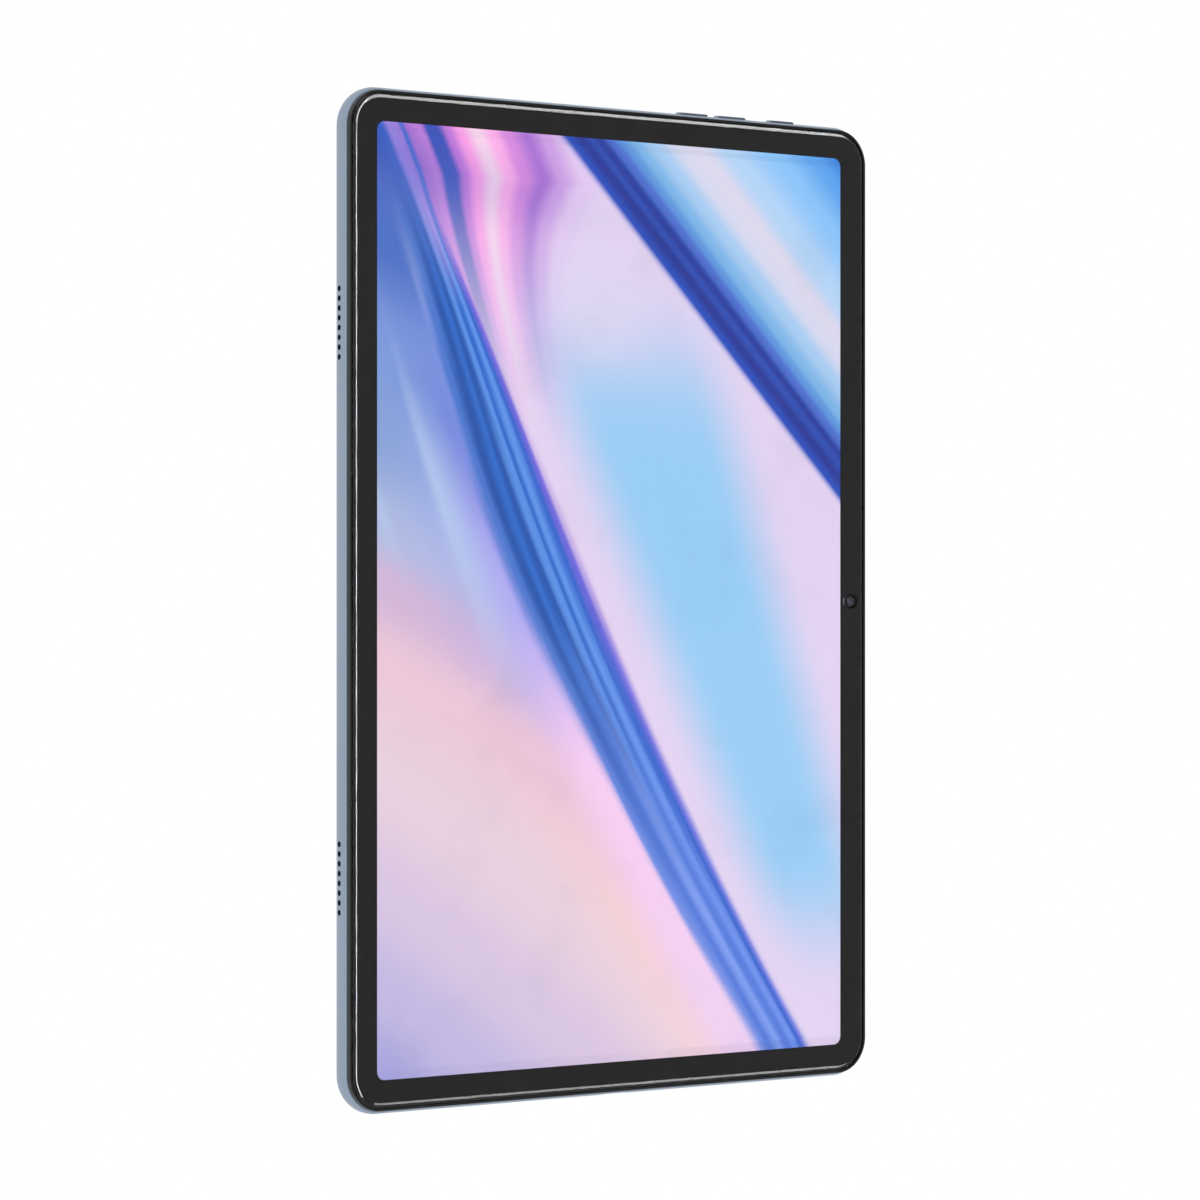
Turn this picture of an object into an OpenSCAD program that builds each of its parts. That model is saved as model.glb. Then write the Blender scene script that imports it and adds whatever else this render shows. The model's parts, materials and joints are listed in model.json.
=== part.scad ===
// Tablet computer, 11 inch class, standing upright on its short edge.
// +Z runs up the long edge and the screen faces -Y. Depths are measured back from the front of the glass.

/* [Body] */
// Width of the body across its short edge
body_w = 166; // [165:0.5:170]
// Height of the body along its long edge
body_h = 254; // [253:0.5:260]
// Thickness from the glass to the flat back
body_t = 7.5; // [7.5:0.1:8.5]
// Corner radius of the body's outline
corner_r = 10; // [9.5:0.5:12]
// Thickness of the metal side wall
wall_side = 1.5; // [1.4:0.05:1.5]
// Thickness of the metal back wall
wall_back = 1.0; // [0.9:0.05:1.0]

/* [Screen] */
// Width of the visible picture
view_w = 147.7; // [140:0.1:147.7]
// Height of the visible picture
view_h = 237; // [230:0.5:237]
// Corner radius of the visible picture
view_r = 2.2; // [1:0.1:4]
// Distance from the body's edge to the edge of the cover glass
glass_inset = 1.88; // [1.8:0.01:2.0]
// Thickness of the cover glass
glass_t = 0.7; // [0.6:0.05:0.7]

/* [Keys] */
// Length of each volume key
volume_len = 10; // [8:0.2:11]
// Length of the power key
power_len = 8.8; // [7:0.2:10]
// Width of every key
key_w = 2.4; // [2:0.1:2.4]
// How far the keys stand proud of the edge
key_proud = 0.5; // [0.4:0.05:0.8]
// Clearance around each key in its slot
key_gap = 0.1; // [0.08:0.01:0.15]

/* [Sound] */
// Sound holes in each row
hole_count = 8; // [4:1:8]
// Distance between sound holes
hole_pitch = 2.41; // [2.2:0.01:2.5]
// Diameter of a sound hole
hole_d = 1.45; // [1:0.05:1.5]
// Distance from the body's middle to the middle of each row
speaker_offset = 68.4; // [66:0.1:70]

/* [Rear camera] */
// How far the camera island stands proud of the back
island_proud = 1.0; // [0.8:0.1:1.4]
// Width of the camera island
island_w = 14; // [13.5:0.5:15]
// Length of the camera island
island_l = 30; // [28:1:32]

/* [Hidden] */
$fn = 64;
eps = 0.01;
mid_z = body_h / 2;
front_y = -(body_t + island_proud) / 2;
half_w = body_w / 2;

// Depths of the layers, from the front of the glass
rim_d = 1.33;                       // where the metal shell begins
side_d = 3.75;                      // centre line of the keys, sound holes and port
ink_t = 0.1;
ledge_d = glass_t + 2 * ink_t;      // front of the ledge that carries the glass
cell_d = [glass_t + ink_t, 1.75];
film_d = [1.75, 2.0];
guide_d = [2.0, 2.5];
reflector_d = [2.5, 2.58];
tray_d = [1.75, 2.78];
plate_d = [tray_d[1], 3.15];
flex_d = [3.25, 3.4];
board_d = [3.65, 4.35];
battery_d = [3.45, 6.3];
inner_back_d = body_t - wall_back;
step_d = 5.2;                       // where the cavity narrows behind the rounded edge
step_inset = 3.0;
flex_t = 0.12;

// Rounded side of the metal shell
rim_inset = 0.85;
chamfer_inset = 0.6;
chamfer_d = 1.45;
front_arc_r = 2.57;
front_arc_d = 3.1;
back_arc_r = 3.7;
back_arc_d = body_t - back_arc_r;

// Plastic frame: the bead round the glass and the skirt inside the wall
bead_inset = [rim_inset + 0.02, 1.48];
bead_r = (bead_inset[1] - bead_inset[0]) / 2;
bead_top = 0.05;
skirt_inset = [wall_side + 0.12, 2.6];
skirt_d = 2.0;

// Curved edge of the cover glass
glass_edge_d = 0.35;
glass_curve = 3.1;
glass_arc_r = (pow(glass_curve - glass_inset, 2) + pow(glass_edge_d, 2)) / (2 * glass_edge_d);

// Display module, its opening in the frame, and its driver edge at the top
module_x = view_w / 2 + 1.35;
view_z = [mid_z - view_h / 2, mid_z + view_h / 2];
cell_z = [view_z[0] - 1.5, view_z[1] + 3.3];
light_z = [view_z[0] - 0.6, view_z[1] + 0.9];
open_gap = 0.2;
ledge_open_x = module_x + open_gap;
ledge_open_z = cell_z + [-open_gap, open_gap];
sheet_x = module_x - 0.5;
sheet_z = light_z + [0.4, -1.6];
fold_z = cell_z[1] - 0.3;           // where the display's flex folds back
display_flex_x = [-34, -8];
led_size = 2;
led_pitch = 6.1;
led_count = 24;

// Front camera, in the border on the +X side
front_cam = [half_w - 5.9, mid_z];
front_cam_window = 4.4;
front_cam_hole = 4.2;
front_cam_barrel = 3.2;
front_cam_box = 6;
front_cam_box_d = [3.4, 5.1];

// Keys, in the top edge: centre along X and length
volume_up = [38.7, volume_len];
volume_down = [26.1, volume_len];
power = [55.5, power_len];
KEYS = [volume_up, volume_down, power];
key_ear = 0.5;                      // how far the flange reaches past each end of the key
key_flange_w = key_w + 0.3;
flange_z = [body_h - wall_side - 1.2, body_h - wall_side - 0.1];
plunger_z = [body_h - 4.6, flange_z[0]];
plunger_size = [1.8, 1.2];
plunger_gap = 0.15;
switch_z = [body_h - 6.5, body_h - 3.8];
switch_size = [4.6, 2.2];
switch_floor_z = body_h - 5.1;
bracket_z = [body_h - 7.6, body_h - 6.7];
bracket_x = [16, 65];
bracket_d = [board_d[0], 6.1];
bracket_tab_x = [12, 69];
bracket_tab_d = [4.6, 5.0];
key_flex_x = [20, 62];
key_tail_x = [44, 48];

// Port in the bottom edge
port_size = [8.94, 3.26];
port_wall = 0.3;
port_gap = 0.1;
port_z = [0.4, 7.7];
port_back = 0.6;
tongue_size = [6.69, 0.7];
tongue_inset = 1.0;

// Card tray in the +X edge
tray_z = body_h - 56;
tray_depth = 4.0;
tray_len = 15.4;
tray_t = 2.2;
tray_gap = 0.1;
carrier_x = [half_w - 20.5, half_w - 1.7];
carrier_t = 1.0;
carrier_z = [tray_z - 5.0, tray_z + 7.3];
card_step = 0.3;
eject_z = tray_z - 6.3;
eject_dia = 0.9;
socket_x = [half_w - 23, half_w - 3.4];
socket_z = carrier_z + [-2, 1.2];
socket_d = [3.25, 4.85];

// Rear camera island
island_x = half_w - 15;
island_z = body_h - 24;
island_gap = 0.1;
island_flange = [1.0, 0.3];
rear_cam_z = island_z + 6.5;
flash_z = island_z - 7;
island_top_d = body_t + island_proud;
rear_glass_d = [island_top_d - 0.6, island_top_d - 0.1];
rear_glass_dia = 10.2;
rear_cam_window = 8;
rear_cam_barrel = 7.6;
rear_cam_box = 9.2;
rear_cam_box_d = [3.6, 6.1];
flash_hole = 4.1;
flash_lens_dia = 4.0;
flash_led_size = 2.6;
flash_led_d = [5.8, 7.2];

// Loudspeakers behind the -X edge
speaker_z = [mid_z - speaker_offset, mid_z + speaker_offset];
mesh_x = [-half_w + wall_side, -half_w + wall_side + 0.2];
nozzle_x = [-half_w + 2.8, -half_w + 7];
nozzle_half = 10.5;
duct_half = 9.8;
duct_wall = 0.4;
nozzle_d = [2.5, 5.0];
speaker_x = [nozzle_x[1], -half_w + 24];
speaker_half = 22;
speaker_d = [3.3, 6.3];

// Boards
main_x = [-56, 58];
main_z = [body_h - 50, body_h - 8];
wing_x = [40, 80];
wing_z = [body_h - 68, body_h - 44];
port_board_x = [-31, 31];
port_board_z = [2.2, 24];
chip_t = 0.8;
can_t = 1.5;
can_wall = 0.2;

// Battery
cell_w = 54;
cell_l = 140;
battery_z = [40, 40 + cell_l];
battery_board_z = from(battery_z[1], [0.4, 4.6]);
lead_x = [14, 26];
adhesive_w = 12;

// Microphones and antennas
mic_x = [-10, 20];
mic_d = 4.75;
mic_dia = 0.8;
mic_size = 3.6;
mic_t = 0.8;
mic_top_z = [body_h - 4.6, body_h - 2.5];
mic_bottom_z = [2.5, 4.6];
antenna_d = [rim_d, rim_d + flex_t];
cable_dia = 0.8;

// Screws: X and Z of each boss on the shell
board_bosses = [[-50, body_h - 13], [52, body_h - 13], [-50, body_h - 45], [44, body_h - 62]];
port_bosses = [[-27, 19], [27, 19]];
bracket_bosses = [[13.6, body_h - 5.5], [67.4, body_h - 5.5]];
boss_dia = 4;
boss_floor = 0.3;
pilot_dia = 1.5;
screw_dia = 1.4;
screw_hole = 1.7;
board_screw_len = 2.0;
bracket_screw_len = 1.5;
head_dia = 3.0;
head_t = 0.35;

// ---- Helpers ----

// Two limits measured from a base value
function from(base, span) = [base + span[0], base + span[1]];

// Two limits either side of a centre
function about(centre, size) = [centre - size / 2, centre + size / 2];

// Extrudes a flat outline, drawn in X and Z, between two depths
module slab(d) {
    translate([0, front_y + d[1], 0])
        rotate([90, 0, 0]) linear_extrude(d[1] - d[0]) children();
}

// A box between two X, two Z and two depth values
module block(x, z, d) {
    translate([x[0], front_y + d[0], z[0]]) cube([x[1] - x[0], d[1] - d[0], z[1] - z[0]]);
}

// A round bar along Y, through a point given as X and Z, between two depths
module bar(p, dia, d) {
    translate([p[0], front_y + d[0], p[1]]) rotate([-90, 0, 0]) cylinder(h = d[1] - d[0], d = dia);
}

// A rounded rectangle about a centre
module round_rect(size, r) {
    square([size[0] - 2 * r, size[1]], center = true);
    square([size[0], size[1] - 2 * r], center = true);
    for (sx = [-1, 1], sz = [-1, 1])
        translate([sx * (size[0] / 2 - r), sz * (size[1] / 2 - r)]) circle(r);
}

// A slot with round ends, len long and w wide
module stadium(len, w) {
    square([len - w, w], center = true);
    for (s = [-1, 1]) translate([s * (len - w) / 2, 0]) circle(w / 2);
}

// The body's outline, moved in from its edge by inset
module body_outline(inset) {
    translate([0, mid_z]) round_rect([body_w - 2 * inset, body_h - 2 * inset], corner_r - inset);
}

// Carries a section round the body's outline. The section is drawn with the distance from
// the corner's axis along x and the depth along y.
module sweep_section() {
    run = [body_h - 2 * corner_r, body_w - 2 * corner_r];
    reach = [body_w / 2 - corner_r, body_h / 2 - corner_r];
    translate([0, front_y, mid_z]) for (k = [0:3]) rotate([0, -90 * k, 0]) {
        translate([reach[k % 2], 0, 0]) linear_extrude(run[k % 2], center = true) children();
        translate([reach[k % 2], 0, run[k % 2] / 2])
            rotate([0, -90, 0]) rotate([-90, 0, 0]) rotate_extrude(angle = 90) children();
    }
}

// A rectangle in the section's plane, between two insets and two depths
module section_box(inset, d) {
    translate([corner_r - inset[1], d[0]]) square([inset[1] - inset[0], d[1] - d[0]]);
}

// The middle of the body, inside the four corner axes
module middle(d) {
    block([-half_w + corner_r, half_w - corner_r], [corner_r, body_h - corner_r], d);
}

// ---- Metal shell ----

module shell_section() {
    translate([corner_r - back_arc_r, back_arc_d]) intersection() {
        circle(back_arc_r);
        square(back_arc_r);
    }
    section_box([back_arc_r, corner_r], [back_arc_d, body_t]);
    section_box([0, corner_r], [front_arc_d, back_arc_d]);
    translate([corner_r - front_arc_r, front_arc_d]) intersection() {
        circle(front_arc_r);
        translate([0, chamfer_d - front_arc_d]) square([front_arc_r, front_arc_d - chamfer_d]);
    }
    section_box([front_arc_r, corner_r], [chamfer_d, front_arc_d]);
    polygon([[0, rim_d], [corner_r - rim_inset, rim_d],
        [corner_r - chamfer_inset, chamfer_d], [0, chamfer_d]]);
}

module shell_blank() {
    sweep_section() shell_section();
    middle([rim_d, body_t]);
}

module shell_cavity() {
    slab([0, step_d]) body_outline(wall_side);
    slab([step_d - eps, inner_back_d]) body_outline(step_inset);
}

module boss(p, d) {
    difference() {
        bar(p, boss_dia, [d, inner_back_d + eps]);
        bar(p, pilot_dia, [d - 1, inner_back_d - boss_floor]);
    }
}

module key_slot(key) {
    translate([key[0], front_y + side_d, body_h - wall_side - 1])
        linear_extrude(5) stadium(key[1] + 2 * key_gap, key_w + 2 * key_gap);
}

module sound_holes(z) {
    for (i = [0:hole_count - 1])
        translate([-half_w - 1, front_y + side_d, z + (i - (hole_count - 1) / 2) * hole_pitch])
            rotate([0, 90, 0]) cylinder(h = wall_side + 2, d = hole_d);
}

module tray_prism(len, t, x) {
    translate([x[0], front_y + tray_depth, tray_z])
        rotate([0, 90, 0]) linear_extrude(x[1] - x[0]) stadium(len, t);
}

module port_hole() {
    translate([0, front_y + side_d, -1]) linear_extrude(step_inset + 1)
        stadium(port_size[0] + 2 * port_gap, port_size[1] + 2 * port_gap);
}

module mic_hole(x, z) {
    translate([x, front_y + mic_d, z]) cylinder(h = wall_side + 2, d = mic_dia);
}

module island_outline(margin) {
    translate([island_x, island_z]) rotate(90) stadium(island_l + 2 * margin, island_w + 2 * margin);
}

module rear_cover() {
    color("lightsteelblue") union() {
        difference() {
            shell_blank();
            shell_cavity();
            for (key = KEYS) key_slot(key);
            for (z = speaker_z) sound_holes(z);
            tray_prism(tray_len + 2 * tray_gap, tray_t + 2 * tray_gap, [half_w - 3, half_w + 1]);
            port_hole();
            mic_hole(mic_x[0], body_h - wall_side - 1);
            mic_hole(mic_x[1], -1);
            slab([inner_back_d - 1, body_t + 1]) island_outline(island_gap);
        }
        for (p = board_bosses) boss(p, board_d[1]);
        for (p = port_bosses) boss(p, board_d[1]);
        for (p = bracket_bosses) boss(p, bracket_tab_d[1]);
    }
}

// ---- Plastic frame, glass and display ----

module bezel_frame() {
    color("#202124") difference() {
        union() {
            sweep_section() {
                section_box(bead_inset, [bead_top + bead_r, rim_d]);
                translate([corner_r - bead_inset[0] - bead_r, bead_top + bead_r]) circle(bead_r);
                section_box([bead_inset[1], corner_r], [ledge_d, rim_d]);
                section_box(skirt_inset, [rim_d - eps, skirt_d]);
            }
            middle([ledge_d, rim_d]);
        }
        block([-ledge_open_x, ledge_open_x], ledge_open_z, [0, skirt_d]);
        bar(front_cam, front_cam_hole, [0, skirt_d]);
    }
}

module cover_glass() {
    color([0.75, 0.8, 0.85, 0.35]) {
        sweep_section() {
            intersection() {
                translate([corner_r - glass_curve, glass_arc_r]) circle(glass_arc_r, $fn = 128);
                section_box([glass_inset, glass_curve], [0, glass_t]);
            }
            section_box([glass_curve, corner_r], [0, glass_t]);
        }
        middle([0, glass_t]);
    }
}

module view_outline() {
    translate([0, mid_z]) round_rect([view_w, view_h], view_r);
}

module ink_border() {
    color("black") difference() {
        slab([glass_t, glass_t + ink_t]) body_outline(glass_inset + 0.1);
        slab([0, rim_d]) view_outline();
        bar(front_cam, front_cam_window, [0, rim_d]);
    }
}

module optical_adhesive() {
    color([0.9, 0.95, 1, 0.3]) slab([glass_t, glass_t + ink_t]) view_outline();
}

module display_tape() {
    margin = 0.4;
    color("#1a1a1a") difference() {
        slab([glass_t + ink_t, ledge_d]) body_outline(glass_inset + margin);
        block([-ledge_open_x - margin, ledge_open_x + margin], ledge_open_z + [-margin, margin], [0, rim_d]);
        bar(front_cam, front_cam_window + margin, [0, rim_d]);
    }
}

module lcd_cell() {
    color("royalblue") block([-module_x, module_x], cell_z, cell_d);
}

module optical_films() {
    color("whitesmoke") block([-sheet_x, sheet_x], sheet_z, film_d);
}

module light_guide() {
    color([0.9, 0.95, 1, 0.6]) block([-sheet_x, sheet_x], sheet_z, guide_d);
}

module reflector_sheet() {
    color("silver") block([-sheet_x, sheet_x], [sheet_z[0], light_z[1] - 0.5], reflector_d);
}

module backlight_tray() {
    wall = 0.3;
    color("gainsboro") difference() {
        block([-module_x, module_x], light_z, tray_d);
        block([-module_x + wall, module_x - wall], light_z + [wall, -wall], [0, reflector_d[1]]);
    }
}

module backlight_leds() {
    strip_z = light_z[1] - 0.7;
    chip_z = [light_z[1] - 1.4, strip_z];
    row = (led_count - 1) * led_pitch;
    color("khaki") {
        block(about(0, row + 2 * led_size), [strip_z, strip_z + 0.2], guide_d);
        for (i = [0:led_count - 1]) block(about(i * led_pitch - row / 2, led_size), chip_z, guide_d);
    }
}

module display_flex() {
    color("goldenrod") {
        block(display_flex_x, [fold_z - 1.2, fold_z], [cell_d[1], cell_d[1] + flex_t]);
        block(display_flex_x, [fold_z - flex_t, fold_z], [cell_d[1], flex_d[1]]);
        block(display_flex_x, [main_z[1] - 10, fold_z], flex_d);
        block(display_flex_x + [2, -2], [main_z[1] - 9.5, main_z[1] - 6], [flex_d[1], board_d[0]]);
    }
}

module mid_plate() {
    rows = 4;
    pitch = body_h / (rows + 2);
    color("darkgray") difference() {
        block(about(0, 2 * module_x - 0.4), light_z + [0.1, -0.3], plate_d);
        for (i = [1:rows], s = [-1, 1]) slab([plate_d[0] - 1, plate_d[1] + 1])
            translate([s * (half_w - 16), (i + 0.5) * pitch]) rotate(90) stadium(18, 5);
    }
}

// ---- Front camera ----

module front_camera() {
    color("#101216") {
        bar(front_cam, front_cam_barrel, [glass_t + 0.15, front_cam_box_d[0]]);
        block(about(front_cam[0], front_cam_box), about(front_cam[1], front_cam_box), front_cam_box_d);
    }
}

module front_camera_flex() {
    top = wing_z[0] + 2.6;
    color("goldenrod") {
        block(about(front_cam[0], 3), [mid_z + front_cam_box / 2, top], [3.5, 3.5 + flex_t]);
        block(about(front_cam[0], 2.6), [top - 2.2, top - 0.2], [3.5 + flex_t, board_d[0]]);
    }
}

// ---- Keys ----

module key_cap(key) {
    color("lightsteelblue") {
        translate([key[0], front_y + side_d, flange_z[1] - eps])
            linear_extrude(body_h + key_proud - flange_z[1] + eps) stadium(key[1], key_w);
        translate([key[0], front_y + side_d, flange_z[0]])
            linear_extrude(flange_z[1] - flange_z[0]) stadium(key[1] + 2 * key_ear, key_flange_w);
    }
}

module key_plunger(key) {
    color("#30343a")
        block(about(key[0], plunger_size[0]), plunger_z, about(side_d, plunger_size[1]));
}

module volume_up_key() { key_cap(volume_up); }
module volume_up_plunger() { key_plunger(volume_up); }
module volume_down_key() { key_cap(volume_down); }
module volume_down_plunger() { key_plunger(volume_down); }
module power_key() { key_cap(power); }
module power_plunger() { key_plunger(power); }

module key_switches() {
    pocket = [plunger_size[0] + 2 * plunger_gap, plunger_size[1] + 2 * plunger_gap];
    color("silver") for (key = KEYS) difference() {
        block(about(key[0], switch_size[0]), switch_z, about(side_d, switch_size[1]));
        block(about(key[0], pocket[0]), [switch_floor_z, body_h], about(side_d, pocket[1]));
    }
}

module key_flex() {
    color("goldenrod") {
        block(key_flex_x, [bracket_z[1], switch_z[0]], [2.9, 4.9]);
        block(key_tail_x, [main_z[1] - 5, switch_z[0]], [board_d[0] - flex_t, board_d[0]]);
    }
}

module key_bracket() {
    color("silver") difference() {
        union() {
            block(bracket_x, bracket_z, bracket_d);
            block(bracket_tab_x, [bracket_z[0], body_h - 3.6], bracket_tab_d);
        }
        block(bracket_x + [3, -2.5], [bracket_z[1], body_h], bracket_d);
        for (p = bracket_bosses) bar(p, screw_hole, bracket_d);
    }
}

// ---- Boards ----

module mainboard() {
    color("darkgreen") difference() {
        union() {
            block(main_x, main_z, board_d);
            block(wing_x, wing_z, board_d);
            block(about(mic_x[0], 8), [main_z[1] - 1, body_h - 2.4], board_d);
        }
        block([socket_x[0] - 0.2, half_w], socket_z + [-0.2, 0.2], socket_d);
        for (p = board_bosses) bar(p, screw_hole, [board_d[0] - 1, board_d[1] + 1]);
    }
}

module chip(x, z, w, t) {
    block(about(x, w), about(z, w), [board_d[1], board_d[1] + t]);
}

module processor() {
    color("#202020") chip(-10.5, main_z[0] + 21.5, 15, 1.0);
}

module memory_chips() {
    color("#2a2a2a") {
        chip(7, main_z[0] + 21.5, 12, chip_t);
        chip(22, main_z[0] + 22, 8, chip_t);
        chip(-33, main_z[0] + 21.5, 7, chip_t);
    }
}

module shield_can(x, z) {
    difference() {
        block(x, z, [board_d[1], board_d[1] + can_t]);
        block(x + [can_wall, -can_wall], z + [can_wall, -can_wall], [board_d[0], board_d[1] + can_t - can_wall]);
    }
}

module shield_cans() {
    color("silver") {
        shield_can([-22, 30], from(main_z[0], [10, 32]));
        shield_can([-42, -24], from(main_z[0], [12, 31]));
    }
}

module microphones() {
    color("gold") {
        block(about(mic_x[0], mic_size), mic_top_z, [board_d[1], board_d[1] + mic_t]);
        block(about(mic_x[1], mic_size), mic_bottom_z, [board_d[1], board_d[1] + mic_t]);
    }
}

module graphite_sheet() {
    color("#303030") block([-42, 40], [main_z[0] - 14, main_z[1]], [inner_back_d - 0.1, inner_back_d]);
}

module port_board() {
    color("darkgreen") difference() {
        block(port_board_x, port_board_z, board_d);
        block(about(0, port_size[0] + 0.6), [0, port_z[1] + 0.3], [0, body_t]);
        for (p = port_bosses) bar(p, screw_hole, [board_d[0] - 1, board_d[1] + 1]);
    }
}

module port_shell() {
    color("gainsboro") translate([0, front_y + side_d, 0]) difference() {
        translate([0, 0, port_z[0]]) linear_extrude(port_z[1] - port_z[0])
            stadium(port_size[0], port_size[1]);
        linear_extrude(port_z[1] - port_back)
            stadium(port_size[0] - 2 * port_wall, port_size[1] - 2 * port_wall);
    }
}

module port_tongue() {
    color("#18181a") block(about(0, tongue_size[0]), [port_z[0] + tongue_inset, port_z[1] - port_back],
        about(side_d, tongue_size[1]));
}

module main_flex() {
    color("goldenrod") {
        block([-6, 6], [port_board_z[1] - 4, main_z[0] + 6], flex_d);
        block([-5.5, 5.5], from(port_board_z[1], [-3.5, -0.5]), [flex_d[1], board_d[0]]);
        block([-5.5, 5.5], from(main_z[0], [2, 5]), [flex_d[1], board_d[0]]);
    }
}

// ---- Battery ----

module battery_cell(x) {
    color("#3a3f46") slab(battery_d)
        translate([x, (battery_z[0] + battery_z[1]) / 2]) round_rect([cell_w, cell_l], 2);
}

module battery_cell_left() { battery_cell(-cell_w / 2 - 1); }
module battery_cell_right() { battery_cell(cell_w / 2 + 1); }
module battery_board() { color("darkgreen") block([-38, 38], battery_board_z, board_d); }

module battery_lead() {
    color("goldenrod") {
        block(lead_x, [battery_board_z[0] + 0.4, main_z[0] + 6], flex_d);
        block(lead_x + [1, -1], battery_board_z + [0.8, -0.8], [flex_d[1], board_d[0]]);
        block(lead_x + [1, -1], from(main_z[0], [2, 5]), [flex_d[1], board_d[0]]);
    }
}

module battery_adhesive() {
    color("white") for (x = [-40, -16, 16, 40])
        block(about(x, adhesive_w), battery_z + [6, -6], [battery_d[1], inner_back_d]);
}

// ---- Sound ----

module speaker(z) {
    color("#232323") {
        block(speaker_x, about(z, 2 * speaker_half), speaker_d);
        difference() {
            block(nozzle_x, about(z, 2 * nozzle_half), nozzle_d);
            block([-half_w, nozzle_x[1] - 0.5], about(z, 2 * duct_half), nozzle_d + [duct_wall, -duct_wall]);
        }
    }
}

module upper_speaker() { speaker(speaker_z[1]); }
module lower_speaker() { speaker(speaker_z[0]); }

module speaker_gaskets() {
    color("#101010") for (z = speaker_z) difference() {
        block([mesh_x[1], nozzle_x[0]], about(z, 2 * nozzle_half), nozzle_d);
        block([-half_w, 0], about(z, 2 * duct_half), nozzle_d + [duct_wall, -duct_wall]);
    }
}

module speaker_meshes() {
    color("#050505") for (z = speaker_z) block(mesh_x, about(z, 2 * nozzle_half), nozzle_d);
}

module speaker_flex() {
    x = [speaker_x[1], speaker_x[1] + 2.2];
    d = [board_d[0] - 2 * flex_t, board_d[0] - flex_t];
    color("goldenrod") {
        block(x, [speaker_z[0], main_z[0] + 8], d);
        block([x[1], main_x[0] + 3], from(main_z[0], [6, 8]), d);
        block(from(main_x[0], [0.4, 2.6]), from(main_z[0], [6.2, 7.8]), [d[1], board_d[0]]);
    }
}

// ---- Rear camera ----

module camera_island() {
    color("slategray") difference() {
        union() {
            slab([inner_back_d - eps, island_top_d]) island_outline(0);
            slab([inner_back_d - island_flange[1], inner_back_d]) island_outline(island_flange[0]);
        }
        bar([island_x, rear_cam_z], rear_cam_window, [step_d, island_top_d + 1]);
        bar([island_x, rear_cam_z], rear_glass_dia + 0.1, [rear_glass_d[0], island_top_d + 1]);
        bar([island_x, flash_z], flash_hole, [step_d, island_top_d + 1]);
    }
}

module rear_camera_glass() {
    color([0.1, 0.12, 0.15]) bar([island_x, rear_cam_z], rear_glass_dia, rear_glass_d);
}

module rear_camera() {
    color("#15171a") {
        block(about(island_x, rear_cam_box), about(rear_cam_z, rear_cam_box), rear_cam_box_d);
        bar([island_x, rear_cam_z], rear_cam_barrel, [rear_cam_box_d[1] - eps, rear_glass_d[0] - 0.15]);
    }
}

module rear_camera_flex() {
    strip_z = from(rear_cam_z, [-4, 1]);
    tab_z = strip_z + [0.5, -0.5];
    color("goldenrod") {
        block([49, island_x + 2], strip_z, flex_d);
        block([50, 56], tab_z, [flex_d[1], board_d[0]]);
        block([island_x - 3, island_x + 2], tab_z, [flex_d[1], rear_cam_box_d[0]]);
        block(about(island_x, 4), [flash_z - 2, rear_cam_z - rear_cam_box / 2],
            [flash_led_d[0] - flex_t, flash_led_d[0]]);
    }
}

module flash_led() {
    color("khaki")
        block(about(island_x, flash_led_size), about(flash_z, flash_led_size), flash_led_d);
}

module flash_lens() {
    color("white") bar([island_x, flash_z], flash_lens_dia, [flash_led_d[1] + 0.1, rear_glass_d[1]]);
}

// ---- Card tray ----

module card_socket() {
    wall = 0.2;
    color("silver") difference() {
        block(socket_x, socket_z, socket_d);
        block([socket_x[0] + 0.6, half_w], carrier_z + [-0.15, 0.15], socket_d + [wall, -wall]);
    }
}

module tray_face() {
    color("lightsteelblue") difference() {
        intersection() {
            tray_prism(tray_len, tray_t, [carrier_x[1], half_w + 1]);
            shell_blank();
        }
        translate([carrier_x[1] - 1, front_y + tray_depth, eject_z])
            rotate([0, 90, 0]) cylinder(h = 4, d = eject_dia);
    }
}

module tray_carrier() {
    d = about(tray_depth, carrier_t);
    rim = [1.5, -2.5];
    card_z = carrier_z + [1.1, -0.9];
    color("#2b2d30") difference() {
        block(carrier_x, carrier_z, d);
        block(carrier_x + rim, card_z, [0, d[1] - card_step]);
        block(carrier_x + rim + [1, -1], card_z + [1, -1], [0, body_t]);
    }
}

// ---- Antennas and fasteners ----

module wifi_antenna() {
    color("orange") block([-70, -38], [body_h - 4.8, body_h - 2.8], antenna_d);
}

module side_antenna() {
    color("orange") block([half_w - 7, half_w - 2.8], [52, 92], antenna_d);
}

// A thin cable of straight runs with rounded joints, through points given as X, depth and Z
module cable(points) {
    place = [for (p = points) [p[0], front_y + p[1], p[2]]];
    last = len(place) - 1;
    for (i = [0:last - 1]) {
        run = place[i + 1] - place[i];
        translate(place[i]) rotate([0, acos(run[2] / norm(run)), atan2(run[1], run[0])])
            cylinder(h = norm(run), d = cable_dia);
    }
    for (i = [1:last - 1]) translate(place[i]) sphere(d = cable_dia * 1.08);
}

module antenna_cables() {
    start_d = board_d[1] + cable_dia / 2;
    side_x = half_w - 4;
    color("black") {
        cable([[-52, start_d, main_z[1] - 10], [-60, start_d, main_z[1] - 2], [-60, 1.9, body_h - 4]]);
        cable([[46, start_d, main_z[0] + 10], [59, 5.6, main_z[0] + 7.5],
            [side_x, 5.6, wing_z[0] - 2], [side_x, 5.6, 112], [side_x, 1.9, 92]]);
    }
}

module screw(p, seat_d, length) {
    bar(p, head_dia, [seat_d - head_t, seat_d]);
    bar(p, screw_dia, [seat_d - eps, seat_d + length]);
}

module screws() {
    color("silver") {
        for (p = board_bosses) screw(p, board_d[0], board_screw_len);
        for (p = port_bosses) screw(p, board_d[0], board_screw_len);
        for (p = bracket_bosses) screw(p, bracket_tab_d[0], bracket_screw_len);
    }
}

// ---- Nodes ----

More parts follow.
